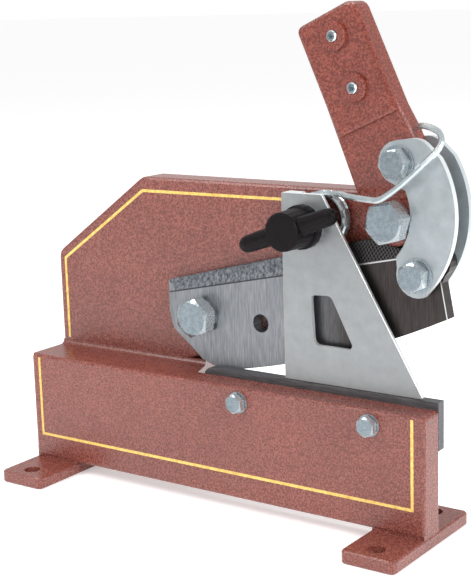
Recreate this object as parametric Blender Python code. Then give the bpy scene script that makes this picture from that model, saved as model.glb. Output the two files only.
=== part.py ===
"""Hand-lever bench shear, built as separate solids for Blender 4.5.

Design frame, in metres: X runs along the blades from the closed end of the casting, Y runs from the
front face of the low wall to the rear, Z runs up from the bench.  Everything hangs on one empty, which
moves that frame so that the world origin is under the middle of the whole machine.
"""

import math

import bmesh
import bpy
from mathutils import Vector

# ---------------------------------------------------------------- driving dimensions (metres)
BODY_LENGTH = 0.360
WALL_HEIGHT = 0.097
WALL_THICKNESS = 0.022
WALL_UNDERSIDE = 0.0105
PLATE_FRONT = 0.0393
PLATE_THICKNESS = 0.024
PLATE_TOP = 0.242
ARM_END_RADIUS = 0.0262         # of the arm's rounded end, about the lever pivot
CAST_ROUND = 0.003
BACK_CORNER = 0.1755            # height at which the closed end starts to slope
SLOPE_END = 0.0922              # where that slope meets the top
THROAT = (0.1250, 0.0985)       # where the plate rises from the ledge, as (x, z)
SHOULDER_RIGHT = 0.1545         # right end of the ledge at the wall's rear face
SHOULDER_SLANT = 0.35           # how much shorter the ledge gets for each metre to the rear
SHOULDER_FILLET = 0.004
GUSSET = (0.030, 0.036, 0.082)  # heights of the gusset's foot, its root and its rear edge
POCKET_LEFT = 0.0185            # sides of the step for the rear link, from the lever pivot
POCKET_RIGHT = 0.050
FOOT_WIDTH = 0.042
FOOT_FRONT = -0.0427
FOOT_REAR = 0.0675
FOOT_THICKNESS = 0.0095
FOOT_HOLE_RADIUS = 0.0065
FOOT_HOLE_INSET = 0.021
FOOT_HOLE_FRONT_Y = -0.029
FOOT_HOLE_REAR_Y = 0.0538

GAP = 0.0003                    # between pieces that touch
RUNNING_GAP = 0.0003            # round a pin that turns in its hole

BLADE_PIVOT = (0.1545, 0.1397)  # joint axes, as (x, z); all of them run along Y
LEVER_PIVOT = (0.3254, 0.2253)
LINK_TOP_PIN = (0.3308, 0.2652)
LINK_LOW_PIN = (0.3444, 0.1894)
CLAMP_AXIS = (0.2550, 0.2170)
SPRING_AXIS = (0.2635, 0.2213)

LOWER_BLADE_LEFT = 0.1605
LOWER_BLADE_TOP = 0.1025
LOWER_BLADE_HEIGHT = 0.035
LOWER_BLADE_FRONT = 0.0204
LOWER_BLADE_THICKNESS = 0.008
UPPER_BLADE_FRONT = LOWER_BLADE_FRONT + LOWER_BLADE_THICKNESS + GAP
UPPER_BLADE_THICKNESS = 0.010
BLADE_BOLT_X = (0.2070, 0.3177)
BLADE_BOLT_Z = 0.0858
EDGE_HEEL = (0.1887, 0.1017)    # ends and bow of the upper blade's cutting edge
EDGE_TIP = (0.3627, 0.1593)
EDGE_BOW = 0.0060
BORDER_DEPTH = 0.0030           # how far the upper blade's border slopes back
BAR_HOLE = (0.2090, 0.1394)     # hole in the upper blade for cutting round bar
BAR_HOLE_RADIUS = 0.0070
BUSH_WALL = 0.0025
LUG_RADIUS = 0.0102             # upper blade's end, round the slot for the lower link pin
SLOT_REACH = (0.0100, 0.0079)
SLOT_ROOM = 0.0015

LEVER_TILT = math.radians(24)   # the lever leans this far back from upright when the jaws are open
LEVER_FRONT = 0.0240
LEVER_THICKNESS = 0.015
LEVER_BOSS_RADIUS = 0.0178
SET_SCREW_ALONG = (0.1312, 0.0932)
SET_SCREW_ACROSS = 0.0094
SOCKET_FRONT = 0.0215
SOCKET_THICKNESS = 0.020
SOCKET_START = 0.0665           # distance from the lever pivot to the socket's shoulder
SOCKET_END = 0.1483
BAR_WIDTH = 0.036               # flat handle bar that the socket takes
BAR_THICKNESS = 0.012
BAR_DEPTH = 0.080
LEVER_MID = 0.0080              # the socket's centre line lies this far to the pivot's right

LINK_THICKNESS = 0.005
LINK_CENTRE = (0.2975, 0.2295)
LINK_OUTER_RADIUS = 0.0755
LINK_INNER_RADIUS = 0.0423
LINK_END_RADIUS = 0.0150

HOLD_DOWN_FRONT = 0.0206
HOLD_DOWN_THICKNESS = 0.0030
HOLD_DOWN_TOP = 0.2402
HOLD_DOWN_TRAVEL = 0.005        # how far it lifts, which is also the thickest sheet that fits
LIP_RIGHT = 0.2485              # right end and rear of the guide lip along its top
LIP_REAR = 0.0320

STUD_RADIUS = 0.0040
CLAMP_WASHER_THICKNESS = 0.0015
KNOB_FACE = -0.0110
KNOB_ARM_Y = -0.0020
KNOB_REACH = 0.0420             # from the axis to an arm's tip
KNOB_TILT = math.radians(19.4)

WIRE_RADIUS = 0.0022
COIL_RADIUS = 0.0180
COIL_PITCH = 0.0046
COIL_TURNS = 1.5                # turns fixed to the casting; the free end adds the rest
WIND_UP_ROOM = 0.0007           # the free turn creeps rearwards by this much as the spring winds up
LEG_DEG = 150.0                 # where the coil's rear leg enters the casting

# bolt sizes: shank radius, across flats, head height
M8 = (0.0040, 0.013, 0.0053)
M12 = (0.0060, 0.019, 0.0075)
M18 = (0.0090, 0.027, 0.0115)
NUT_HEIGHT = {M12: 0.010, M18: 0.0158}
WASHER = {M8: (0.0080, 0.0016), M12: (0.0120, 0.0016), M18: (0.0170, 0.0030)}
HEAD_WASHER_RADIUS = 0.0130     # of the washers under the two pivot bolts' heads
BLADE_HEAD_WASHER = 0.0020      # its thickness at the blade's pivot
ROUND_SIDES = 20

# ---------------------------------------------------------------- derived places
PLATE_REAR = PLATE_FRONT + PLATE_THICKNESS
FRONT_LINK_FRONT = LEVER_FRONT - GAP - LINK_THICKNESS
REAR_LINK_FRONT = LEVER_FRONT + LEVER_THICKNESS + GAP
REAR_LINK_REAR = REAR_LINK_FRONT + LINK_THICKNESS
POCKET_FLOOR = REAR_LINK_REAR + 0.0007
LOWER_BLADE_REAR = LOWER_BLADE_FRONT + LOWER_BLADE_THICKNESS
UPPER_BLADE_REAR = UPPER_BLADE_FRONT + UPPER_BLADE_THICKNESS
HOLD_DOWN_REAR = HOLD_DOWN_FRONT + HOLD_DOWN_THICKNESS
PIVOT_BOLT_END = PLATE_REAR + GAP + WASHER[M18][1] + GAP + NUT_HEIGHT[M18] + 0.002
COIL_REAR = PLATE_FRONT - GAP - WIRE_RADIUS
SPRING_LEG = (SPRING_AXIS[0] + COIL_RADIUS * math.cos(math.radians(LEG_DEG)),
              SPRING_AXIS[1] + COIL_RADIUS * math.sin(math.radians(LEG_DEG)))
LINK_RIGHT = LINK_CENTRE[0] + LINK_OUTER_RADIUS
ORIGIN = Vector((LINK_RIGHT / 2, (FOOT_FRONT + PIVOT_BOLT_END) / 2, 0.0))


# ---------------------------------------------------------------- scene and materials
def clear_scene():
    for old in list(bpy.data.objects):
        bpy.data.objects.remove(old, do_unlink=True)


def finish_material(name, colour, roughness, metallic):
    material = bpy.data.materials.new(name)
    material.use_nodes = True
    shader = material.node_tree.nodes["Principled BSDF"]
    shader.inputs["Base Color"].default_value = (*colour, 1.0)
    shader.inputs["Roughness"].default_value = roughness
    shader.inputs["Metallic"].default_value = metallic
    return material


def empty(name, place, parent=None):
    marker = bpy.data.objects.new(name, None)
    marker.empty_display_size = 0.02
    bpy.context.collection.objects.link(marker)
    marker.parent = parent
    marker.location = place
    return marker


# ---------------------------------------------------------------- outlines, as lists of (x, z)
def arc(centre, radius, start_deg, end_deg, steps):
    points = []
    for k in range(steps + 1):
        angle = math.radians(start_deg + (end_deg - start_deg) * k / steps)
        points.append((centre[0] + radius * math.cos(angle), centre[1] + radius * math.sin(angle)))
    return points


def circle(centre, radius, sides=ROUND_SIDES, turn_deg=0.0):
    return arc(centre, radius, turn_deg, turn_deg + 360 * (sides - 1) / sides, sides - 1)


def rounded(corners, degrees_per_step=18):
    """Polygon whose corners (x, z, radius) are replaced by tangent arcs."""
    points = []
    count = len(corners)
    for k, (x, z, radius) in enumerate(corners):
        here = Vector((x, z))
        if radius <= 0:
            points.append((x, z))
            continue
        back = (Vector(corners[k - 1][:2]) - here).normalized()
        ahead = (Vector(corners[(k + 1) % count][:2]) - here).normalized()
        half = back.angle(ahead) / 2
        centre = here + (back + ahead).normalized() * radius / math.sin(half)
        first = here + back * radius / math.tan(half) - centre
        sweep = first.angle_signed(here + ahead * radius / math.tan(half) - centre)
        steps = max(2, round(abs(math.degrees(sweep)) / degrees_per_step))
        for step in range(steps + 1):
            angle = -sweep * step / steps
            cos, sin = math.cos(angle), math.sin(angle)
            spoke = Vector((first.x * cos - first.y * sin, first.x * sin + first.y * cos))
            points.append(tuple(centre + spoke))
    return points


def on_lever(across, along):
    """Design place of a point given across and along the tilted lever, from its pivot."""
    cos, sin = math.cos(LEVER_TILT), math.sin(LEVER_TILT)
    x = LEVER_PIVOT[0] + across * cos - along * sin
    z = LEVER_PIVOT[1] + across * sin + along * cos
    return x, z


# ---------------------------------------------------------------- solids
class Pivot:
    """An empty on a joint's axis, and the design place where it stands."""

    def __init__(self, name, axis, root):
        self.place = Vector((axis[0], 0.0, axis[1]))
        self.marker = empty(name, self.place, root)


def put(name, bm, pivot, material=None, smooth_deg=35):
    """Turn a bmesh in design coordinates into an object whose origin is its pivot."""
    bmesh.ops.recalc_face_normals(bm, faces=bm.faces)
    bmesh.ops.translate(bm, verts=bm.verts, vec=-pivot.place)
    mesh = bpy.data.meshes.new(name)
    bm.to_mesh(mesh)
    bm.free()
    mesh.shade_smooth()
    mesh.set_sharp_from_angle(angle=math.radians(smooth_deg))
    body = bpy.data.objects.new(name, mesh)
    bpy.context.collection.objects.link(body)
    body.parent = pivot.marker
    if material:
        mesh.materials.append(material)
    return body


def prism_bmesh(outline, front, rear):
    """Outline in the XZ plane, extruded along Y from front to rear."""
    bm = bmesh.new()
    face = bm.faces.new([bm.verts.new((x, front, z)) for x, z in outline])
    grown = bmesh.ops.extrude_face_region(bm, geom=[face])
    moved = [item for item in grown["geom"] if isinstance(item, bmesh.types.BMVert)]
    bmesh.ops.translate(bm, verts=moved, vec=(0.0, rear - front, 0.0))
    return bm


def prism(name, outline, front, rear, pivot, material=None):
    return put(name, prism_bmesh(outline, front, rear), pivot, material)


def skin(bm, rings):
    """Join a row of equal rings into a tube with flat ends."""
    bm.faces.new(rings[0])
    bm.faces.new(rings[-1])
    for lower, upper in zip(rings, rings[1:]):
        for k in range(len(lower)):
            after = (k + 1) % len(lower)
            bm.faces.new((lower[k], lower[after], upper[after], upper[k]))


def ring_round(bm, centre, side, other, radius, sides):
    """Ring of vertices round a centre, in the plane of two unit vectors."""
    ring_of = []
    for k in range(sides):
        angle = math.tau * k / sides
        spoke = side * math.cos(angle) + other * math.sin(angle)
        ring_of.append(bm.verts.new(centre + spoke * radius))
    return ring_of


def turned(name, axis, profile, pivot, material=None, sides=ROUND_SIDES):
    """Closed solid turned round an axis along Y; the profile lists (radius, y) from front to rear."""
    bm = bmesh.new()
    rings = []
    for radius, y in profile:
        rings.append([bm.verts.new((x, y, z)) for x, z in circle(axis, radius, sides)])
    skin(bm, rings)
    return put(name, bm, pivot, material)


def boolean(target, tool, operation="DIFFERENCE"):
    """Cut with, join to or intersect with a helper solid, which isn't a piece of the machine."""
    tool.hide_render = True
    tool.display_type = "WIRE"
    step = target.modifiers.new(tool.name, "BOOLEAN")
    step.operation = operation
    step.solver = "EXACT"
    step.object = tool


def soften(target, width, segments=2, angle_deg=40):
    edges = target.modifiers.new("rounded edges", "BEVEL")
    edges.width = width
    edges.segments = segments
    edges.limit_method = "ANGLE"
    edges.angle_limit = math.radians(angle_deg)


def drill(target, axis, radius, front, rear, pivot, label):
    boolean(target, prism(f"{target.name}_{label}", circle(axis, radius), front, rear, pivot))


def ring(name, axis, inner, outer, front, rear, pivot, material):
    body = turned(name, axis, [(outer, front), (outer, rear)], pivot, material)
    drill(body, axis, inner, front - 0.01, rear + 0.01, pivot, "bore")
    return body


def hexagon(axis, across_flats, turn_deg):
    return circle(axis, across_flats / math.sqrt(3), 6, turn_deg)


def hex_bolt(name, axis, size, seat, length, pivot, material, turn_deg=0.0):
    """Bolt whose head bears on the plane y = seat and whose shank runs rearwards."""
    shank, flats, height = size
    face = seat - height
    bolt = prism(name, hexagon(axis, flats, turn_deg), face, seat, pivot, material)
    dome = [(flats * 0.46, face), (flats * 0.60, face + flats * 0.085), (flats * 0.60, seat)]
    boolean(bolt, turned(f"{name}_chamfer", axis, dome, pivot), "INTERSECT")
    tip = shank * 0.2
    stem = [(shank, seat - 0.001), (shank, seat + length - tip), (shank - tip, seat + length)]
    boolean(bolt, turned(f"{name}_shank", axis, stem, pivot), "UNION")
    return bolt


def hex_nut(name, axis, size, seat, pivot, material, turn_deg=0.0):
    """Nut whose front face bears on the plane y = seat."""
    shank, flats, _ = size
    rear = seat + NUT_HEIGHT[size]
    nut = prism(name, hexagon(axis, flats, turn_deg), seat, rear, pivot, material)
    slope = flats * 0.07
    crown = [(flats * 0.50, seat), (flats * 0.60, seat + slope),
             (flats * 0.60, rear - slope), (flats * 0.50, rear)]
    boolean(nut, turned(f"{name}_crown", axis, crown, pivot), "INTERSECT")
    drill(nut, axis, shank + GAP, seat - 0.01, rear + 0.01, pivot, "thread")
    return nut


def wire(name, points, pivot, material, sides=8):
    """Round wire along a path in design coordinates."""
    path = [Vector(point) for point in points]
    bm = bmesh.new()
    rings = []
    side = Vector((0.0, 1.0, 0.0))
    for k, place in enumerate(path):
        along = (path[min(k + 1, len(path) - 1)] - path[max(k - 1, 0)]).normalized()
        if abs(along.dot(side)) > 0.95:
            side = along.orthogonal().normalized()
        side = (side - along * side.dot(along)).normalized()
        rings.append(ring_round(bm, place, side, along.cross(side), WIRE_RADIUS, sides))
    skin(bm, rings)
    return put(name, bm, pivot, material)


def smooth_path(points, per_span):
    """Catmull-Rom curve through the points."""
    ends = [2 * Vector(points[0]) - Vector(points[1]), 2 * Vector(points[-1]) - Vector(points[-2])]
    row = [ends[0], *map(Vector, points), ends[1]]
    path = []
    for a, b, c, d in zip(row, row[1:], row[2:], row[3:]):
        for k in range(per_span):
            t = k / per_span
            path.append(0.5 * (2 * b + (c - a) * t + (2 * a - 5 * b + 4 * c - d) * t**2
                               + (3 * b - a - 3 * c + d) * t**3))
    return [*path, Vector(points[-1])]


# ---------------------------------------------------------------- the casting
def plate_outline():
    """C-shaped upper plate: chamfered back corner, arm round the lever pivot, slanting underside."""
    x, z = LEVER_PIVOT
    top_deg = math.degrees(math.asin((PLATE_TOP - z) / ARM_END_RADIUS))
    outline = rounded([(0.0, 0.060, 0.0), (0.0, BACK_CORNER, 0.010), (SLOPE_END, PLATE_TOP, 0.012),
                       (x, PLATE_TOP, 0.0)])
    outline += arc((x, z), ARM_END_RADIUS, top_deg, -52, 10)
    outline += rounded([(0.3300, 0.1940, 0.0), (0.3000, 0.1700, 0.030), (0.2000, 0.1200, 0.060),
                        (*THROAT, 0.0), (THROAT[0], 0.060, 0.0)])
    return outline


def shoulder_bmesh():
    """Deep closed end of the casting: the ledge between wall and plate, and the gusset behind it."""
    fillet, inset = SHOULDER_FILLET, 0.002
    foot_z, root_z, rear_z = GUSSET
    profile = [(inset, foot_z), (inset, WALL_HEIGHT), (PLATE_FRONT - fillet, WALL_HEIGHT)]
    centre = (PLATE_FRONT - fillet, WALL_HEIGHT + fillet)
    profile += arc(centre, fillet, -67.5, 0, 3)
    profile += [(PLATE_REAR - fillet, WALL_HEIGHT + fillet), (PLATE_REAR, WALL_HEIGHT), (PLATE_REAR, rear_z),
                (WALL_THICKNESS - inset, root_z), (WALL_THICKNESS - inset, foot_z)]
    bm = bmesh.new()
    face = bm.faces.new([bm.verts.new((0.0, y, z)) for y, z in profile])
    grown = bmesh.ops.extrude_face_region(bm, geom=[face])
    for item in grown["geom"]:
        if isinstance(item, bmesh.types.BMVert):
            # the open end slants, so that the throat is longer at the rear than at the front
            item.co.x = SHOULDER_RIGHT - SHOULDER_SLANT * (item.co.y - WALL_THICKNESS)
    return bm


def lower_blade_seat(casting, pivot):
    """Shallow recess in the wall's rear face that locates the lower blade."""
    left, right = LOWER_BLADE_LEFT - GAP, BODY_LENGTH + 0.01
    low = LOWER_BLADE_TOP - LOWER_BLADE_HEIGHT - GAP
    outline = [(left, low), (right, low), (right, 0.12), (left, 0.12)]
    boolean(casting, prism("seat_cutter", outline, LOWER_BLADE_FRONT - GAP, 0.030, pivot))


def link_pocket(casting, pivot):
    """Step in the arm's front face, where the rear link swings past the lever pivot."""
    x, z = LEVER_PIVOT
    left, right = x - POCKET_LEFT, x + POCKET_RIGHT
    outline = [(left, z - 0.080), (right, z - 0.080), (right, z + 0.040), (left, z + 0.040)]
    boolean(casting, prism("link_pocket_cutter", outline, PLATE_FRONT - 0.010, POCKET_FLOOR, pivot))


def upright(name, outline, low, high, pivot):
    """Outline in the XY plane, extruded upwards."""
    bm = bmesh.new()
    face = bm.faces.new([bm.verts.new((x, y, low)) for x, y in outline])
    grown = bmesh.ops.extrude_face_region(bm, geom=[face])
    moved = [item for item in grown["geom"] if isinstance(item, bmesh.types.BMVert)]
    bmesh.ops.translate(bm, verts=moved, vec=(0.0, 0.0, high - low))
    return put(name, bm, pivot)


def foot(casting, left, pivot, side):
    right = left + FOOT_WIDTH
    corner, inset = 0.004, 0.0005
    outline = rounded([(left, FOOT_FRONT, corner), (right, FOOT_FRONT, corner),
                       (right, FOOT_REAR, corner), (left, FOOT_REAR, corner)], 30)
    pad = upright(f"{side}_foot_block", outline, 0.0, FOOT_THICKNESS, pivot)
    soften(pad, 0.001, 1)
    boolean(casting, pad, "UNION")
    low, high = 0.004, 0.020
    root = [(left + inset, low), (right - inset, low), (right - inset, high), (left + inset, high)]
    boolean(casting, prism(f"{side}_foot_root", root, inset, WALL_THICKNESS - inset, pivot), "UNION")


def foot_holes(casting, pivot):
    for side, x in (("left", FOOT_HOLE_INSET), ("right", BODY_LENGTH - FOOT_HOLE_INSET)):
        for place, y in (("front", FOOT_HOLE_FRONT_Y), ("rear", FOOT_HOLE_REAR_Y)):
            outline = circle((x, y), FOOT_HOLE_RADIUS, 24)
            boolean(casting, upright(f"{side}_{place}_foot_hole", outline, -0.01, 0.02, pivot))


def frame_casting(pivot, paint):
    wall = rounded([(0.0, WALL_UNDERSIDE, 0.0), (0.0, WALL_HEIGHT, CAST_ROUND),
                    (BODY_LENGTH, WALL_HEIGHT, CAST_ROUND), (BODY_LENGTH, WALL_UNDERSIDE, 0.0)], 30)
    casting = prism("frame_casting", wall, 0.0, WALL_THICKNESS, pivot, paint)
    soften(casting, 0.002)
    plate = prism("upper_plate_block", plate_outline(), PLATE_FRONT, PLATE_REAR, pivot)
    soften(plate, 0.002)
    boolean(casting, plate, "UNION")
    boolean(casting, put("shoulder_block", shoulder_bmesh(), pivot), "UNION")
    lower_blade_seat(casting, pivot)
    link_pocket(casting, pivot)
    foot(casting, 0.0, pivot, "left")
    foot(casting, BODY_LENGTH - FOOT_WIDTH, pivot, "right")
    foot_holes(casting, pivot)
    for label, axis, radius, front, rear in (
        ("blade_pivot_hole", BLADE_PIVOT, M18[0] + GAP, 0.03, 0.08),
        ("lever_pivot_hole", LEVER_PIVOT, M18[0] + GAP, 0.03, 0.08),
        ("bar_hole", BAR_HOLE, BAR_HOLE_RADIUS, 0.03, 0.08),
        ("clamp_hole", CLAMP_AXIS, STUD_RADIUS + GAP, 0.03, 0.055),
        ("spring_leg_hole", SPRING_LEG, WIRE_RADIUS + 2 * GAP, 0.03, PLATE_FRONT + 0.008),
        ("blade_bolt_hole_left", (BLADE_BOLT_X[0], BLADE_BOLT_Z), M8[0] + GAP, -0.01, 0.03),
        ("blade_bolt_hole_right", (BLADE_BOLT_X[1], BLADE_BOLT_Z), M8[0] + GAP, -0.01, 0.03),
    ):
        drill(casting, axis, radius, front, rear, pivot, label)
    return casting


# ---------------------------------------------------------------- blades
def lower_blade(pivot, steel):
    top, low = LOWER_BLADE_TOP, LOWER_BLADE_TOP - LOWER_BLADE_HEIGHT
    outline = rounded([(LOWER_BLADE_LEFT, low, 0.001), (LOWER_BLADE_LEFT, top, 0.009),
                       (BODY_LENGTH, top, 0.0), (BODY_LENGTH, low, 0.001)])
    blade = prism("lower_blade", outline, LOWER_BLADE_FRONT, LOWER_BLADE_REAR, pivot, steel)
    for label, x in zip(("left", "right"), BLADE_BOLT_X):
        drill(blade, (x, BLADE_BOLT_Z), M8[0] + GAP, 0.0, 0.05, pivot, f"{label}_hole")
    return blade


def cutting_edge(steps):
    """Bowed lower edge of the upper blade, from its heel to its tip."""
    heel = Vector(EDGE_HEEL)
    chord = Vector(EDGE_TIP) - heel
    normal = Vector((chord.y, -chord.x)).normalized()
    points = []
    for k in range(steps + 1):
        t = k / steps
        points.append(tuple(heel + chord * t + normal * EDGE_BOW * 4 * t * (1 - t)))
    return points


def upper_blade_outline():
    """Full outline at the rear of the bevelled border; the top dips round the lever's boss."""
    x, z = LEVER_PIVOT
    lug_x, lug_z = LINK_LOW_PIN
    outline = [(0.1638, 0.1016), *cutting_edge(12), (0.3580, 0.1836)]
    outline += arc((lug_x + SLOT_REACH[0], lug_z + SLOT_REACH[1]), LUG_RADIUS, -50, 105, 8)
    outline += arc((x, z), LEVER_BOSS_RADIUS + 0.0024, -52, -132, 8)
    outline += [(0.3000, 0.2085), (0.2965, 0.2082), (0.1225, 0.1644), (0.1210, 0.1625)]
    outline += [(0.1225, 0.1399), (0.1275, 0.1262), (0.1430, 0.1146), (0.1538, 0.1052)]
    return outline


def bevel_tool(pivot):
    """Wedge that slopes the blade's top and rear border back from its ground front face."""
    near = [(0.1210, 0.1160), (0.1301, 0.1564), (0.3258, 0.1979), (0.3600, 0.2052)]
    rim = [(0.1170, 0.1160), (0.1212, 0.1641), (0.2980, 0.2085), (0.3400, 0.2190)]
    past = 1.6                      # the wedge runs on past the rim by this ratio
    front = UPPER_BLADE_FRONT - 0.002
    bm = bmesh.new()
    rows = []
    for (ax, az), (bx, bz) in zip(near, rim):
        far_x, far_z = ax + (bx - ax) * past, az + (bz - az) * past
        places = ((ax, front, az), (ax, UPPER_BLADE_FRONT, az),
                  (far_x, UPPER_BLADE_FRONT + BORDER_DEPTH * past, far_z), (far_x, front, far_z))
        rows.append([bm.verts.new(place) for place in places])
    skin(bm, rows)
    return put("border_bevel", bm, pivot)


def upper_blade(pivot, steel):
    blade = prism("upper_blade", upper_blade_outline(), UPPER_BLADE_FRONT, UPPER_BLADE_REAR, pivot, steel)
    boolean(blade, bevel_tool(pivot))
    bush_radius = M18[0] + RUNNING_GAP + BUSH_WALL + GAP
    drill(blade, BLADE_PIVOT, bush_radius, 0.0, 0.06, pivot, "bush_seat")
    drill(blade, BAR_HOLE, BAR_HOLE_RADIUS, 0.0, 0.06, pivot, "bar_hole")
    boolean(blade, prism("pin_slot", pin_slot_outline(), 0.0, 0.06, pivot))
    return blade


def pin_slot_outline():
    """Oversize slot round the lower link pin: the coupled motion lets the pin wander in it."""
    room = M12[0] + SLOT_ROOM
    x, z = LINK_LOW_PIN
    reach_x, reach_z = SLOT_REACH
    along = math.degrees(math.atan2(reach_z, reach_x))
    outline = arc((x, z), room, along + 90, along + 270, 10)
    outline += arc((x + reach_x, z + reach_z), room, along - 90, along + 90, 10)
    return outline


# ---------------------------------------------------------------- lever and its linkage
def lever_casting(pivot, paint):
    boss = LEVER_BOSS_RADIUS
    left, right = -0.0172, 0.0335
    blade = rounded([(-boss, -boss, boss * 0.99), (-0.0205, 0.030, 0.03), (-0.0185, 0.090, 0.0),
                     (0.032, 0.090, 0.0), (0.0365, 0.052, 0.010), (0.0375, 0.0185, 0.0145),
                     (boss, 0.008, 0.008), (boss, -boss, boss * 0.99)])
    lever = prism("lever", [on_lever(*point) for point in blade], LEVER_FRONT, LEVER_FRONT + LEVER_THICKNESS,
                  pivot, paint)
    soften(lever, 0.0012, 1)
    socket = rounded([(left, SOCKET_START, 0.0), (left, SOCKET_END, 0.005),
                      (right - 0.001, SOCKET_END, 0.007), (right, SOCKET_START, 0.0)], 25)
    block = prism("socket_block", [on_lever(*point) for point in socket], SOCKET_FRONT,
                  SOCKET_FRONT + SOCKET_THICKNESS, pivot)
    soften(block, 0.0022)
    boolean(lever, block, "UNION")
    middle = SOCKET_FRONT + SOCKET_THICKNESS / 2
    for label, along in zip(("upper", "lower"), SET_SCREW_ALONG):
        axis = on_lever(SET_SCREW_ACROSS, along)
        profile = [(0.0090, SOCKET_FRONT - 0.0030), (0.0100, SOCKET_FRONT - 0.0022),
                   (0.0105, SOCKET_FRONT + 0.001), (0.0105, SOCKET_FRONT + 0.003)]
        boolean(lever, turned(f"{label}_boss", axis, profile, pivot, sides=24), "UNION")
        drill(lever, axis, M8[0] + GAP, 0.0, middle, pivot, f"{label}_screw_hole")
    half = BAR_WIDTH / 2
    low, high = SOCKET_END - BAR_DEPTH, SOCKET_END + 0.010
    bar = [on_lever(*point) for point in ((LEVER_MID - half, low), (LEVER_MID - half, high),
                                          (LEVER_MID + half, high), (LEVER_MID + half, low))]
    boolean(lever, prism("bar_socket", bar, middle - BAR_THICKNESS / 2, middle + BAR_THICKNESS / 2, pivot))
    drill(lever, LEVER_PIVOT, M18[0] + RUNNING_GAP + BUSH_WALL + GAP, 0.0, 0.06, pivot, "bush_seat")
    drill(lever, LINK_TOP_PIN, M12[0] + RUNNING_GAP, 0.0, 0.06, pivot, "link_pin_hole")
    return lever


def set_screw(name, axis, pivot, zinc):
    """Socket set screw whose inner end stops at the bar's face."""
    front = SOCKET_FRONT - 0.0045
    rear = SOCKET_FRONT + (SOCKET_THICKNESS - BAR_THICKNESS) / 2 - GAP
    profile = [(0.0032, front), (M8[0], front + 0.0008), (M8[0], rear - 0.0008), (0.0032, rear)]
    screw = turned(name, axis, profile, pivot, zinc)
    boolean(screw, prism(f"{name}_socket", hexagon(axis, 0.004, 0), front - 0.01, front + 0.004, pivot))


def link_outline():
    """Crescent that clears the lever's pivot bolt: two concentric arcs between round ends."""
    low_x, low_z = LINK_LOW_PIN
    top_x, top_z = LINK_TOP_PIN
    outline = arc(LINK_CENTRE, LINK_OUTER_RADIUS, -40, 32, 18)
    outline += arc((0.3425, 0.2678), 0.0140, 52, 100, 4)
    outline += arc((top_x, top_z), LINK_END_RADIUS, 100, 235, 8)
    outline += arc(LINK_CENTRE, LINK_INNER_RADIUS, 24, -42, 10)
    outline += arc((low_x, low_z), LINK_END_RADIUS + 0.0005, 165, 290, 8)
    return outline


def link(name, front, pivot, steel):
    plate = prism(name, link_outline(), front, front + LINK_THICKNESS, pivot, steel)
    for label, axis in (("top", LINK_TOP_PIN), ("low", LINK_LOW_PIN)):
        drill(plate, axis, M12[0] + GAP, front - 0.01, front + 0.02, pivot, f"{label}_hole")
    return plate


def link_fastener(place, axis, turn_deg, pivot, zinc):
    """Bolt, washers and nut that hold both links at one pin."""
    outer, thick = WASHER[M12]
    front_seat = FRONT_LINK_FRONT - GAP
    rear_seat = REAR_LINK_REAR + GAP
    nut_seat = rear_seat + thick + GAP
    hole = M12[0] + GAP
    ring(f"link_washer_{place}_front", axis, hole, outer, front_seat - thick, front_seat, pivot, zinc)
    ring(f"link_washer_{place}_rear", axis, hole, outer, rear_seat, rear_seat + thick, pivot, zinc)
    head_seat = front_seat - thick - GAP
    length = nut_seat + NUT_HEIGHT[M12] + 0.0015 - head_seat
    hex_bolt(f"link_bolt_{place}", axis, M12, head_seat, length, pivot, zinc, turn_deg)
    hex_nut(f"link_nut_{place}", axis, M12, nut_seat, pivot, zinc, turn_deg)


def pivot_fastener(label, axis, head_seat, head_washer, turn_deg, pivot, zinc):
    """Shoulder bolt through the casting, with a washer under its head and a washer and nut at the rear."""
    outer, thick = WASHER[M18]
    washer_front = PLATE_REAR + GAP
    nut_seat = washer_front + thick + GAP
    front_washer = head_seat - head_washer
    hole = M18[0] + GAP
    ring(f"{label}_washer_front", axis, hole, HEAD_WASHER_RADIUS, front_washer, head_seat, pivot, zinc)
    bolt_seat = front_washer - GAP
    hex_bolt(f"{label}_bolt", axis, M18, bolt_seat, PIVOT_BOLT_END - bolt_seat, pivot, zinc, turn_deg)
    ring(f"{label}_washer", axis, hole, outer, washer_front, washer_front + thick, pivot, zinc)
    hex_nut(f"{label}_nut", axis, M18, nut_seat, pivot, zinc, turn_deg)


# ---------------------------------------------------------------- hold-down and its clamp
def hold_down_plate(pivot, zinc):
    bottom = LOWER_BLADE_TOP + GAP
    top = HOLD_DOWN_TOP
    front, rear = HOLD_DOWN_FRONT, HOLD_DOWN_REAR
    outline = rounded([(0.2350, bottom, 0.0), (0.2350, top, 0.002), (0.2690, top, 0.002),
                       (0.3477, bottom + 0.0012, 0.001), (0.3470, bottom, 0.0)])
    plate = prism("hold_down_plate", outline, front, rear, pivot, zinc)
    soften(plate, 0.0004, 1, 50)
    low, high = top - 0.0034, top - 0.0004
    lip = [(0.2354, low), (0.2354, high), (LIP_RIGHT, high), (LIP_RIGHT, low)]
    boolean(plate, prism("guide_lip", lip, rear - 0.001, LIP_REAR, pivot), "UNION")
    window = rounded([(0.2586, 0.1674, 0.003), (0.2752, 0.1684, 0.005),
                      (0.2941, 0.1310, 0.003), (0.2604, 0.1312, 0.005)])
    boolean(plate, prism("window_cutter", window, front - 0.01, rear + 0.01, pivot))
    x, z = CLAMP_AXIS
    room = STUD_RADIUS + GAP
    slot = arc((x, z + GAP), room, 0, 180, 8) + arc((x, z - HOLD_DOWN_TRAVEL - GAP), room, 180, 360, 8)
    boolean(plate, prism("slot_cutter", slot, front - 0.01, rear + 0.01, pivot))
    return plate


def clamp_stud(pivot, zinc):
    profile = [(STUD_RADIUS - 0.001, 0.0004), (STUD_RADIUS, 0.0014), (STUD_RADIUS, 0.0535),
               (STUD_RADIUS - 0.001, 0.0545)]
    return turned("clamp_stud", CLAMP_AXIS, profile, pivot, zinc, sides=24)


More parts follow.
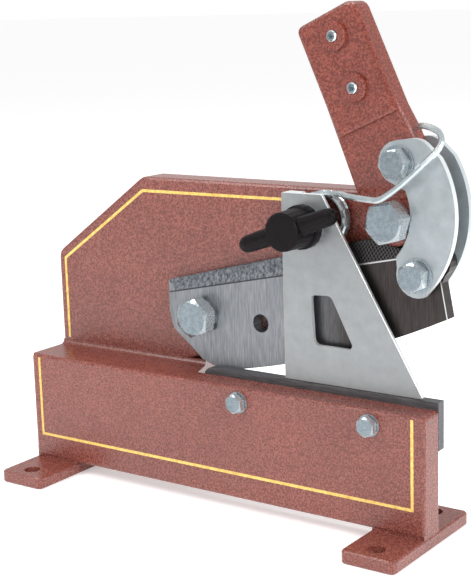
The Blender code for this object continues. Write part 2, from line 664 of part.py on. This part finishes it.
def clamp_knob(pivot, plastic):
    """T-shaped knob: flanged hub with two arms, on the clamp stud."""
    x, z = CLAMP_AXIS
    face, rear = KNOB_FACE, HOLD_DOWN_FRONT - 2 * GAP - CLAMP_WASHER_THICKNESS
    profile = [(0.0126, face), (0.0138, face + 0.0012), (0.0144, rear - 0.0062),
               (0.0160, rear - 0.0056), (0.0160, rear - 0.0006), (0.0154, rear)]
    knob = turned("clamp_knob", CLAMP_AXIS, profile, pivot, plastic)
    across = Vector((0.0, 1.0, 0.0))
    arm = [(0.0072, 0.002), (0.0064, KNOB_REACH - 0.007), (0.0056, KNOB_REACH - 0.0035),
           (0.0040, KNOB_REACH - 0.0012), (0.0016, KNOB_REACH)]
    for label, side in (("right", 1), ("left", -1)):
        way = Vector((math.cos(KNOB_TILT), 0.0, math.sin(KNOB_TILT))) * side
        bm = bmesh.new()
        rings = []
        for radius, distance in arm:
            centre = Vector((x, KNOB_ARM_Y, z)) + way * distance
            rings.append(ring_round(bm, centre, across, way.cross(across), radius, 14))
        skin(bm, rings)
        boolean(knob, put(f"{label}_arm", bm, pivot), "UNION")
    drill(knob, CLAMP_AXIS, STUD_RADIUS + RUNNING_GAP, 0.0, 0.03, pivot, "thread")
    return knob


# ---------------------------------------------------------------- return spring
def helix(start_deg, end_deg, start_y):
    """Coil points that run forwards from start_y, clockwise seen from the front."""
    steps = math.ceil((start_deg - end_deg) / 18)
    points = []
    for k, (x, z) in enumerate(arc(SPRING_AXIS, COIL_RADIUS, start_deg, end_deg, steps)):
        points.append((x, start_y - COIL_PITCH * (start_deg - end_deg) / 360 * k / steps, z))
    return points


def return_spring(fixed, moving, zinc):
    x, z = SPRING_LEG
    coil_end = LEG_DEG - 360 * COIL_TURNS
    coil = helix(LEG_DEG, coil_end, COIL_REAR)
    leg = [(x, PLATE_FRONT + 0.006, z), (x, PLATE_FRONT + 0.002, z)]
    wire("return_spring_coil", [*leg, *coil], fixed, zinc)
    turn_start = coil_end - 2.0
    turn_end = 90 - 720
    turn = helix(turn_start, turn_end, COIL_REAR - COIL_PITCH * COIL_TURNS - WIND_UP_ROOM)
    # forwards off the coil, right past the lever's front face, then round its right edge
    arm = [turn[-1], (0.2775, 0.0260, 0.2404), (0.2850, 0.0205, 0.2412), (0.2935, 0.0115, 0.2420)]
    arm += [(0.3025, 0.0052, 0.2423), (0.3195, 0.0038, 0.2413), (0.3250, 0.0037, 0.2419)]
    arm += [(0.3315, 0.0037, 0.2457), (0.3424, 0.0038, 0.2537), (0.3565, 0.0046, 0.2662)]
    hook = [(0.3646, 0.0074, 0.2746), (0.3667, 0.0112, 0.2808), (0.3640, 0.0148, 0.2858)]
    hook += [(0.3580, 0.0180, 0.2885), (0.3490, 0.0225, 0.2899), (0.3412, 0.0285, 0.2890)]
    wire("return_spring_arm", [*turn[:-1], *smooth_path([*arm, *hook], 3)], moving, zinc)


# ---------------------------------------------------------------- assembly
def build():
    clear_scene()
    paint = finish_material("hammered_red_paint", (0.36, 0.10, 0.07), 0.35, 0.3)
    zinc = finish_material("zinc_plate", (0.62, 0.66, 0.67), 0.32, 0.9)
    ground = finish_material("ground_steel", (0.38, 0.39, 0.41), 0.38, 0.9)
    dark = finish_material("dark_tool_steel", (0.10, 0.09, 0.09), 0.45, 0.8)
    bronze = finish_material("bronze", (0.55, 0.38, 0.18), 0.40, 0.9)
    plastic = finish_material("black_plastic", (0.02, 0.017, 0.017), 0.35, 0.0)

    root = empty("machine_origin", -ORIGIN)
    body = Pivot("body_frame", (0.0, 0.0), root)
    blade = Pivot("blade_axis", BLADE_PIVOT, root)
    lever = Pivot("lever_axis", LEVER_PIVOT, root)
    links = Pivot("link_axis", LINK_TOP_PIN, root)
    clamp = Pivot("clamp_axis", CLAMP_AXIS, root)
    slide = Pivot("hold_down_guide", CLAMP_AXIS, root)
    spring = Pivot("spring_axis", SPRING_AXIS, root)

    frame_casting(body, paint)
    lower_blade(body, dark)
    for side, x in zip(("left", "right"), BLADE_BOLT_X):
        outer, thick = WASHER[M8]
        axis = (x, BLADE_BOLT_Z)
        ring(f"blade_washer_{side}", axis, M8[0] + GAP, outer, -GAP - thick, -GAP, body, zinc)
        seat = -2 * GAP - thick
        hex_bolt(f"blade_bolt_{side}", axis, M8, seat, LOWER_BLADE_REAR - 0.0005 - seat, body, zinc, 90)

    upper_blade(blade, ground)
    bore = M18[0] + RUNNING_GAP
    bush = bore + BUSH_WALL
    ring("blade_bush", BLADE_PIVOT, bore, bush, UPPER_BLADE_FRONT, UPPER_BLADE_REAR, blade, bronze)
    seat = UPPER_BLADE_FRONT - GAP
    pivot_fastener("blade_pivot", BLADE_PIVOT, seat, BLADE_HEAD_WASHER, 22, body, zinc)

    lever_casting(lever, paint)
    lever_rear = LEVER_FRONT + LEVER_THICKNESS
    ring("lever_bush", LEVER_PIVOT, bore, bush, LEVER_FRONT, lever_rear, lever, bronze)
    for side, along in zip(("upper", "lower"), SET_SCREW_ALONG):
        set_screw(f"set_screw_{side}", on_lever(SET_SCREW_ACROSS, along), lever, zinc)
    # this washer is as thick as a link and its gaps, so that the head stands in front of the link
    seat = LEVER_FRONT - GAP
    pivot_fastener("lever_pivot", LEVER_PIVOT, seat, LINK_THICKNESS + GAP, 15, body, zinc)
    ring("lever_spacer", LEVER_PIVOT, M18[0] + GAP, 0.0126, lever_rear + GAP, POCKET_FLOOR - GAP, body, zinc)

    link("front_link", FRONT_LINK_FRONT, links, zinc)
    link("rear_link", REAR_LINK_FRONT, links, zinc)
    link_fastener("upper", LINK_TOP_PIN, 10, links, zinc)
    link_fastener("lower", LINK_LOW_PIN, 25, links, zinc)
    hole = M12[0] + GAP
    ring("link_spacer", LINK_LOW_PIN, hole, 0.0090, LEVER_FRONT, UPPER_BLADE_FRONT - GAP, links, zinc)

    hold_down_plate(slide, zinc)
    clamp_stud(body, zinc)
    washer_rear = HOLD_DOWN_FRONT - GAP
    washer_front = washer_rear - CLAMP_WASHER_THICKNESS
    hole = STUD_RADIUS + GAP
    ring("clamp_washer", CLAMP_AXIS, hole, 0.0150, washer_front, washer_rear, body, zinc)
    bush_front, bush_rear = HOLD_DOWN_REAR + GAP, PLATE_FRONT - GAP
    ring("spring_bush", CLAMP_AXIS, hole, 0.0060, bush_front, bush_rear, body, zinc)
    clamp_knob(clamp, plastic)
    return_spring(body, spring, zinc)


build()
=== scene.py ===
"""Looks of the hand-lever bench shear: materials, pinstripes, studio and camera."""

import math

import bmesh
import bpy
from mathutils import Matrix, Vector


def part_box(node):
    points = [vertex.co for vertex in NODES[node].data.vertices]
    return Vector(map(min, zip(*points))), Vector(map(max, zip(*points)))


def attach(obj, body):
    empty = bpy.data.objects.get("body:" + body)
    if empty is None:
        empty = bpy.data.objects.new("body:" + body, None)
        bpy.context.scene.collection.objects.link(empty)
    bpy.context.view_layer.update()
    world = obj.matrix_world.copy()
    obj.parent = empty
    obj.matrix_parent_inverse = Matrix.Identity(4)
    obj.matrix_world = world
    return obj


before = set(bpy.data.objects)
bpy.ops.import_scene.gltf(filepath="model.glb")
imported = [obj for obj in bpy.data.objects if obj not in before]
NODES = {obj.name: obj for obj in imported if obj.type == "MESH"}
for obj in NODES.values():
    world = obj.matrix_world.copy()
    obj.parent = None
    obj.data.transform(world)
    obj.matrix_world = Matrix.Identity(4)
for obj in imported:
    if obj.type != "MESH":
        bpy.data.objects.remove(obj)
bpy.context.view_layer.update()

# ---------------------------------------------------------------- places, in metres off the frame
CASTING_LOW, CASTING_HIGH = (Vector(corner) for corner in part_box("frame_casting"))
FOOT_OVERHANG = 0.0427          # the feet reach this far in front of the wall
WALL_HEIGHT = 0.097
PLATE_TOP = CASTING_HIGH.z
PLATE_FRONT = 0.0393
STRIPE_WIDTH = 0.0022
STRIPE_LIFT = 0.00012
WALL_STRIPE_LEFT = 0.0080       # from the wall's left end
WALL_STRIPE_RIGHT = 0.0095      # from its right end
WALL_STRIPE_LOW = 0.0300        # above the bench
WALL_STRIPE_TOP = 0.0026        # below the wall's top
PLATE_STRIPE_TOP = 0.0100       # below the upper plate's top edge
FLOOR_DROP = 0.0002             # keeps the floor off the soles
FLOOR_HALF = 30.0
EDGE_START = (0.1301, 0.1564)   # left end of the line between the upper blade's ground face and border
EDGE_SLOPE = 0.2123
BLADE_TIP = (0.3623, 0.1593)    # low corner of the upper blade's right end
END_SLOPE = -0.1934
LINE_CORE = 0.0003              # half width of the blade's drawn lines before they fade
TURNS_BLACK = (0.236, 0.285)      # where the ground steel turns black, along the blade
EYE = (0.7778, -0.7898, 0.3743)
AZIMUTH, ELEVATION, ROLL = 35.83, 11.78, -1.75      # of the camera, in degrees
LENS = 86.1                     # mm, on a 36 mm sensor
LIT_POINT = Vector((0.0, 0.0, 0.15))
WHITE = (1.0, 1.0, 1.0)


def place(x, y, z):
    """Row-frame point from distances off the casting's closed end, the wall's front face and the bench."""
    return Vector((CASTING_LOW.x + x, CASTING_LOW.y + FOOT_OVERHANG + y, z))


# ---------------------------------------------------------------- node helpers
class Shader:
    """A Principled material whose textures use object coordinates, in metres."""

    def __init__(self, name, roughness=0.4, metallic=0.0, coat=0.0):
        self.material = bpy.data.materials.new(name)
        self.material.use_nodes = True
        self.tree = self.material.node_tree
        self.surface = self.tree.nodes["Principled BSDF"]
        self.surface.inputs["Roughness"].default_value = roughness
        self.surface.inputs["Metallic"].default_value = metallic
        self.surface.inputs["Coat Weight"].default_value = coat
        self.coordinates = self.tree.nodes.new("ShaderNodeTexCoord")

    def add(self, kind, **settings):
        node = self.tree.nodes.new(kind)
        for key, value in settings.items():
            setattr(node, key, value)
        return node

    def join(self, source, target):
        self.tree.links.new(source, target)

    def noise(self, scale, detail=2.0, rough=0.5, stretch=(1.0, 1.0, 1.0)):
        mapping = self.add("ShaderNodeMapping")
        mapping.inputs["Scale"].default_value = stretch
        self.join(self.coordinates.outputs["Object"], mapping.inputs["Vector"])
        texture = self.add("ShaderNodeTexNoise")
        texture.inputs["Scale"].default_value = scale
        texture.inputs["Detail"].default_value = detail
        texture.inputs["Roughness"].default_value = rough
        self.join(mapping.outputs["Vector"], texture.inputs["Vector"])
        return texture.outputs["Fac"]

    def cells(self, scale):
        texture = self.add("ShaderNodeTexVoronoi", feature="SMOOTH_F1")
        texture.inputs["Scale"].default_value = scale
        self.join(self.coordinates.outputs["Object"], texture.inputs["Vector"])
        return texture.outputs["Distance"]

    def ramp(self, value, *stops):
        """stops are (position, colour)."""
        node = self.add("ShaderNodeValToRGB")
        elements = node.color_ramp.elements
        while len(elements) < len(stops):
            elements.new(0.5)
        for element, (position, colour) in zip(elements, stops):
            element.position = position
            element.color = (*colour, 1.0)
        self.join(value, node.inputs["Fac"])
        return node.outputs["Color"]

    def span(self, value, low, high, to_low=0.0, to_high=1.0):
        node = self.add("ShaderNodeMapRange")
        ends = {"From Min": low, "From Max": high, "To Min": to_low, "To Max": to_high}
        for label, number in ends.items():
            node.inputs[label].default_value = number
        self.join(value, node.inputs["Value"])
        return node.outputs["Result"]

    def maths(self, operation, first, second):
        node = self.add("ShaderNodeMath", operation=operation)
        for socket, value in zip(node.inputs, (first, second)):
            if isinstance(value, (int, float)):
                socket.default_value = value
            else:
                self.join(value, socket)
        return node.outputs["Value"]

    def mix(self, amount, first, second, blend="MIX"):
        node = self.add("ShaderNodeMix", data_type="RGBA", blend_type=blend)
        if isinstance(amount, float):
            node.inputs["Factor"].default_value = amount
        else:
            self.join(amount, node.inputs["Factor"])
        colour_a, colour_b, colour_out = 6, 7, 2
        for socket, value in ((node.inputs[colour_a], first), (node.inputs[colour_b], second)):
            if isinstance(value, tuple):
                socket.default_value = (*value, 1.0)
            else:
                self.join(value, socket)
        return node.outputs[colour_out]

    def axis(self, output, letter):
        """One component of the object coordinates or of the object-space normal."""
        node = self.add("ShaderNodeSeparateXYZ")
        self.join(self.coordinates.outputs[output], node.inputs["Vector"])
        return node.outputs[letter]

    def facing(self, letter):
        """How squarely the surface faces along an axis, either way."""
        return self.maths("ABSOLUTE", self.axis("Normal", letter), 0.0)

    def line(self, run, rise, start, slope, reach):
        """A drawn line through start, whose second coordinate, rise, gains slope for each unit of run."""
        first, second = start
        slant = self.maths("MULTIPLY", self.maths("SUBTRACT", run, first), slope)
        off = self.maths("SUBTRACT", rise, self.maths("ADD", slant, second))
        return self.span(self.maths("ABSOLUTE", off, 0.0), LINE_CORE, reach, 1.0, 0.0)

    def colour(self, value):
        self.join(value, self.surface.inputs["Base Color"])

    def gloss(self, value):
        self.join(value, self.surface.inputs["Roughness"])

    def bump(self, height, distance, strength=1.0):
        node = self.add("ShaderNodeBump")
        node.inputs["Distance"].default_value = distance
        node.inputs["Strength"].default_value = strength
        self.join(height, node.inputs["Height"])
        self.join(node.outputs["Normal"], self.surface.inputs["Normal"])


# ---------------------------------------------------------------- materials
def hammered_paint(name, shade):
    """Red-brown hammer finish: fine dimples, lighter flecks and slow changes of tone."""
    paint = Shader(name, roughness=0.30, coat=0.15)
    paint.surface.inputs["Coat Roughness"].default_value = 0.22
    speck = paint.noise(800.0, 1.0, 0.50)
    stops = []
    for at, colour in ((0.32, (0.118, 0.026, 0.018)), (0.50, (0.195, 0.047, 0.033)),
                       (0.68, (0.300, 0.098, 0.074))):
        stops.append((at, tuple(part * share for part, share in zip(colour, shade))))
    flecks = paint.ramp(speck, *stops)
    tone = paint.ramp(paint.noise(14.0, 2.0), (0.35, (0.86, 0.84, 0.84)), (0.65, WHITE))
    paint.colour(paint.mix(1.0, flecks, tone, "MULTIPLY"))
    paint.gloss(paint.span(speck, 0.3, 0.7, 0.20, 0.36))
    dimples = paint.maths("ADD", paint.maths("MULTIPLY", paint.cells(330.0), 0.6), speck)
    paint.bump(dimples, 0.00040, 0.60)
    return paint.material


def zinc(name, tint, edge_highlight_tint, roughness, metallic=0.88):
    """Blue-white zinc plating, a little mottled; the cut edges get a painted highlight, a lighter colour
    than the faces.
    """
    plate = Shader(name, roughness=roughness, metallic=metallic)
    mottle = plate.noise(95.0, 4.0, 0.6)
    face = plate.ramp(mottle, (0.32, tuple(0.80 * c for c in tint)), (0.68, tint))
    # painted highlight: surfaces turned away from the front and back take the lighter edge colour
    edge = plate.span(plate.facing("Y"), 0.88, 0.60)
    plate.colour(plate.mix(edge, face, edge_highlight_tint))
    plate.gloss(plate.span(mottle, 0.3, 0.7, roughness - 0.05, roughness + 0.09))
    plate.bump(plate.noise(900.0, 2.0), 0.00002, 0.35)
    return plate.material


def turned_head(name, axis=None):
    """Zinc-plated fastener, its flats and sides given a pale colour as a painted highlight; a head with a
    known axis shows the rings left by turning.
    """
    metal = Shader(name, roughness=0.27, metallic=0.85)
    mottle = metal.noise(260.0, 4.0, 0.6)
    tint = metal.ramp(mottle, (0.30, (0.17, 0.205, 0.23)), (0.70, (0.27, 0.315, 0.345)))
    grain = metal.noise(1500.0, 2.0)
    if axis:
        mapping = metal.add("ShaderNodeMapping")
        mapping.inputs["Location"].default_value = (-axis.x, 0.0, -axis.z)
        metal.join(metal.coordinates.outputs["Object"], mapping.inputs["Vector"])
        rings = metal.add("ShaderNodeTexWave", wave_type="RINGS", rings_direction="Y")
        rings.inputs["Scale"].default_value = 300.0
        rings.inputs["Distortion"].default_value = 0.8
        metal.join(mapping.outputs["Vector"], rings.inputs["Vector"])
        marks = metal.ramp(rings.outputs["Fac"], (0.2, (0.78, 0.78, 0.78)), (0.8, WHITE))
        tint = metal.mix(1.0, tint, marks, "MULTIPLY")
        grain = metal.maths("ADD", grain, rings.outputs["Fac"])
    # painted highlight: flats and sides not facing the front take a pale colour
    flat_highlight = metal.span(metal.facing("Y"), 0.92, 0.70)
    metal.colour(metal.mix(flat_highlight, tint, (0.66, 0.71, 0.73)))
    metal.gloss(metal.span(mottle, 0.3, 0.7, 0.20, 0.34))
    metal.bump(grain, 0.00004, 0.5)
    return metal.material


def blade_steel():
    """Ground grey towards the pivot, black towards the tip, with a rough forged border; the face's edge
    lines are painted shade and painted highlight.
    """
    steel = Shader("blade_steel", roughness=0.42, metallic=0.80)
    grain = steel.noise(60.0, 3.0, 0.6, (26.0, 1.0, 1.6))
    along, up = steel.axis("Object", "X"), steel.axis("Object", "Z")
    dark = steel.span(along, *(place(x, 0, 0).x for x in TURNS_BLACK))
    ground = steel.ramp(grain, (0.30, (0.140, 0.148, 0.162)), (0.72, (0.270, 0.283, 0.300)))
    black = steel.ramp(grain, (0.30, (0.026, 0.021, 0.020)), (0.75, (0.060, 0.052, 0.050)))
    face = steel.mix(dark, ground, black)
    # forged border: mottled scale, crossed by fine tool marks at two slants
    scale_marks = steel.noise(560.0, 5.0, 0.7, (1.0, 1.0, 0.6))
    rough_light = steel.ramp(scale_marks, (0.36, (0.040, 0.045, 0.052)), (0.68, (0.250, 0.265, 0.290)))
    slants = []
    for tilt in (35, -40):
        mapping = steel.add("ShaderNodeMapping")
        mapping.inputs["Rotation"].default_value = (0.0, math.radians(tilt), 0.0)
        steel.join(steel.coordinates.outputs["Object"], mapping.inputs["Vector"])
        wave = steel.add("ShaderNodeTexWave", bands_direction="X")
        wave.inputs["Scale"].default_value = 140.0
        wave.inputs["Distortion"].default_value = 3.5
        wave.inputs["Detail Scale"].default_value = 0.6
        steel.join(mapping.outputs["Vector"], wave.inputs["Vector"])
        slants.append(wave.outputs["Fac"])
    hatch = steel.maths("MAXIMUM", *slants)
    rough_dark = steel.ramp(hatch, (0.93, (0.014, 0.012, 0.012)), (1.00, (0.170, 0.165, 0.165)))
    border = steel.mix(dark, rough_light, rough_dark)
    endwise = steel.span(steel.facing("X"), 0.40, 0.60, 1.0, 0.0)
    upward = steel.maths("MULTIPLY", steel.span(steel.axis("Normal", "Z"), 0.06, 0.14), endwise)
    # the ground face's upper edge: a line of painted shade on the grey part, turned to a painted highlight
    # on the black part and down the right end
    corner = place(EDGE_START[0], 0, EDGE_START[1])
    tip = place(BLADE_TIP[0], 0, BLADE_TIP[1])
    upper = steel.line(along, up, (corner.x, corner.z), EDGE_SLOPE, 0.0007)
    end = steel.line(up, along, (tip.z, tip.x), END_SLOPE, 0.0006)
    front = steel.span(steel.axis("Normal", "Y"), -0.8, -0.5, 1.0, 0.0)
    near = steel.maths("MULTIPLY", steel.maths("MAXIMUM", upper, end), front)
    # the edge line's colour: painted shade on the grey part, painted highlight on the black part
    line = steel.mix(dark, (0.030, 0.032, 0.036), (0.60, 0.60, 0.61))
    steel.colour(steel.mix(near, steel.mix(upward, face, border), line))
    steel.gloss(steel.span(upward, 0.0, 1.0, 0.40, 0.55))
    steel.bump(steel.maths("ADD", grain, steel.maths("MULTIPLY", scale_marks, upward)), 0.00008, 0.4)
    return steel.material


def dark_steel():
    steel = Shader("dark_blade_steel", roughness=0.40, metallic=0.75)
    grain = steel.noise(60.0, 4.0, 0.6, (1.4, 8.0, 20.0))
    steel.colour(steel.ramp(grain, (0.30, (0.060, 0.060, 0.064)), (0.72, (0.160, 0.162, 0.170))))
    steel.gloss(steel.span(grain, 0.3, 0.7, 0.34, 0.50))
    steel.bump(grain, 0.00005, 0.4)
    return steel.material


def black_plastic():
    plastic = Shader("moulded_black_plastic", roughness=0.36)
    plastic.surface.inputs["Specular IOR Level"].default_value = 0.10
    grain = plastic.noise(700.0, 2.0)
    plastic.colour(plastic.ramp(grain, (0.3, (0.003, 0.002, 0.003)), (0.7, (0.008, 0.006, 0.007))))
    plastic.gloss(plastic.span(grain, 0.3, 0.7, 0.32, 0.44))
    plastic.bump(grain, 0.00004, 0.4)
    return plastic.material


def bush_bronze():
    bronze = Shader("bearing_bronze", roughness=0.42, metallic=0.9)
    grain = bronze.noise(300.0, 3.0)
    bronze.colour(bronze.ramp(grain, (0.3, (0.36, 0.22, 0.09)), (0.7, (0.60, 0.40, 0.18))))
    bronze.bump(grain, 0.00004, 0.4)
    return bronze.material


def stripe_paint():
    gold = Shader("gold_stripe_paint", roughness=0.45)
    patch = gold.noise(420.0, 3.0)
    gold.colour(gold.ramp(patch, (0.30, (0.62, 0.36, 0.07)), (0.62, (0.88, 0.60, 0.16))))
    gold.bump(patch, 0.00010, 0.4)
    return gold.material


def dress(names, material):
    for name in names:
        for slot in NODES[name].material_slots:
            slot.link = "OBJECT"
            slot.material = material


def finish_nodes():
    # the lever's paint is the casting's paint made darker and redder: painted shade
    painted = {"frame_casting": WHITE, "lever": (0.90, 0.66, 0.56)}
    plates = ["front_link", "rear_link"]
    wires = ["return_spring_arm", "return_spring_coil"]
    special = [*painted, *plates, *wires, "hold_down_plate", "upper_blade", "lower_blade", "clamp_knob",
               "blade_bush", "lever_bush"]
    for name, shade in painted.items():
        dress([name], hammered_paint(f"hammered_{name}", shade))
    dress(["front_link"], zinc("link_zinc", (0.345, 0.38, 0.40), (0.74, 0.78, 0.79), 0.38, 0.60))
    # the rear link gets a shaded copy of the link zinc: a darker painted edge highlight, and less metal so
    # its face, in the front link's shade, reads lighter
    dress(["rear_link"], zinc("rear_link_zinc", (0.34, 0.39, 0.415), (0.50, 0.55, 0.57), 0.42, 0.45))
    dress(["hold_down_plate"], zinc("hold_down_zinc", (0.33, 0.345, 0.352), (0.90, 0.92, 0.92), 0.46))
    dress(wires, zinc("spring_zinc", (0.48, 0.54, 0.56), (0.56, 0.62, 0.64), 0.22))
    dress(["upper_blade"], blade_steel())
    dress(["lower_blade"], dark_steel())
    dress(["clamp_knob"], black_plastic())
    dress(["blade_bush", "lever_bush"], bush_bronze())
    dress([name for name in NODES if name not in special], turned_head("plated_fastener"))
    for name in ("blade_pivot_bolt", "lever_pivot_bolt", "link_bolt_upper", "link_bolt_lower",
                 "blade_bolt_left", "blade_bolt_right"):
        low, high = (Vector(corner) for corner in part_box(name))
        dress([name], turned_head(f"turned_{name}", (low + high) / 2))


# ---------------------------------------------------------------- pinstripes
def offset_row(points, distance):
    """The polyline (x, z) moved sideways, with mitred corners."""
    row = [Vector(point) for point in points]
    moved = []
    for k, here in enumerate(row):
        before = (here - row[k - 1]).normalized() if k else None
        after = (row[k + 1] - here).normalized() if k + 1 < len(row) else None
        before, after = before or after, after or before
        middle = (before + after).normalized()
        side = Vector((-middle.y, middle.x))
        moved.append(here + side * distance / middle.dot(before))
    return moved


def stripe(name, points, surface_y, material):
    """Thin ribbon of paint that lies on a face turned to the front."""
    upper = offset_row(points, STRIPE_WIDTH / 2)
    lower = offset_row(points, -STRIPE_WIDTH / 2)
    bm = bmesh.new()
    sections = []
    for above, below in zip(upper, lower):
        corners = []
        for corner, lift in ((above, STRIPE_LIFT), (below, STRIPE_LIFT), (below, 0.0), (above, 0.0)):
            corners.append(bm.verts.new(place(corner.x, surface_y - lift, corner.y)))
        sections.append(corners)
    bm.faces.new(sections[0])
    bm.faces.new(sections[-1])
    for near, far in zip(sections, sections[1:]):
        for k in range(4):
            after = (k + 1) % 4
            bm.faces.new((near[k], near[after], far[after], far[k]))
    bmesh.ops.recalc_face_normals(bm, faces=bm.faces)
    mesh = bpy.data.meshes.new(name)
    bm.to_mesh(mesh)
    bm.free()
    mesh.materials.append(material)
    ribbon = bpy.data.objects.new(name, mesh)
    bpy.context.collection.objects.link(ribbon)
    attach(ribbon, "frame")


def pinstripes():
    gold = stripe_paint()
    left, low = WALL_STRIPE_LEFT, WALL_STRIPE_LOW
    right = CASTING_HIGH.x - CASTING_LOW.x - WALL_STRIPE_RIGHT
    top = WALL_HEIGHT - WALL_STRIPE_TOP
    stripe("pinstripe_wall", [(left, top), (left, low), (right, low), (right, top)], 0.0, gold)
    high = PLATE_TOP - PLATE_STRIPE_TOP
    corners = [(0.0070, 0.1030), (0.0070, 0.1706), (0.0923, high - 0.0010), (0.2620, high)]
    stripe("pinstripe_plate", corners, PLATE_FRONT, gold)


# ---------------------------------------------------------------- studio
def studio():
    bm = bmesh.new()
    bmesh.ops.create_grid(bm, x_segments=1, y_segments=1, size=FLOOR_HALF)
    mesh = bpy.data.meshes.new("studio_floor")
    bm.to_mesh(mesh)
    bm.free()
    floor = bpy.data.objects.new("studio_floor", mesh)
    floor.location.z = -FLOOR_DROP
    bpy.context.collection.objects.link(floor)
    pale = Shader("pale_floor", roughness=0.9)
    pale.surface.inputs["Base Color"].default_value = (0.93, 0.93, 0.93, 1.0)
    pale.surface.inputs["Emission Color"].default_value = (*WHITE, 1.0)
    pale.surface.inputs["Emission Strength"].default_value = 0.34
    mesh.materials.append(pale.material)

    world = bpy.data.worlds.new("studio_world")
    world.use_nodes = True
    tree = world.node_tree
    backdrop = tree.nodes["Background"]
    backdrop.inputs["Color"].default_value = (*WHITE, 1.0)
    # white at the horizon, where it meets the floor, and softer overhead
    way = tree.nodes.new("ShaderNodeTexCoord")
    parts = tree.nodes.new("ShaderNodeSeparateXYZ")
    fade = tree.nodes.new("ShaderNodeMapRange")
    for label, number in (("From Min", 0.04), ("From Max", 0.16), ("To Min", 1.0), ("To Max", 0.66)):
        fade.inputs[label].default_value = number
    tree.links.new(way.outputs["Generated"], parts.inputs["Vector"])
    tree.links.new(parts.outputs["Z"], fade.inputs["Value"])
    tree.links.new(fade.outputs["Result"], backdrop.inputs["Strength"])
    bpy.context.scene.world = world

    for name, where, size, power in (
        ("key_light", (-0.9, -1.3, 1.5), 0.9, 20.0),
        ("right_light", (1.5, -0.5, 0.9), 0.8, 18.0),
        ("top_light", (0.1, 0.3, 1.8), 1.0, 16.0),
    ):
        lamp = bpy.data.lights.new(name, "AREA")
        lamp.size = size
        lamp.energy = power
        light = bpy.data.objects.new(name, lamp)
        light.location = where
        towards = LIT_POINT - light.location
        light.rotation_euler = towards.to_track_quat("-Z", "Y").to_euler()
        bpy.context.collection.objects.link(light)


def camera():
    azimuth, elevation, roll = math.radians(AZIMUTH), math.radians(ELEVATION), math.radians(ROLL)
    right = Vector((math.cos(azimuth), math.sin(azimuth), 0.0))
    back = Vector((math.sin(azimuth) * math.cos(elevation), -math.cos(azimuth) * math.cos(elevation),
                   math.sin(elevation)))
    up = back.cross(right)
    across = right * math.cos(roll) + up * math.sin(roll)
    above = up * math.cos(roll) - right * math.sin(roll)
    lens = bpy.data.cameras.new("camera")
    lens.lens = LENS
    lens.sensor_width = 36.0
    lens.sensor_fit = "AUTO"
    lens.clip_start = 0.05
    eye = bpy.data.objects.new("camera", lens)
    turn = Matrix((across, above, back)).transposed().to_4x4()
    eye.matrix_world = Matrix.Translation(place(*EYE)) @ turn
    bpy.context.collection.objects.link(eye)
    bpy.context.scene.camera = eye


finish_nodes()
pinstripes()
studio()
camera()
bpy.context.scene.view_settings.view_transform = "Standard"
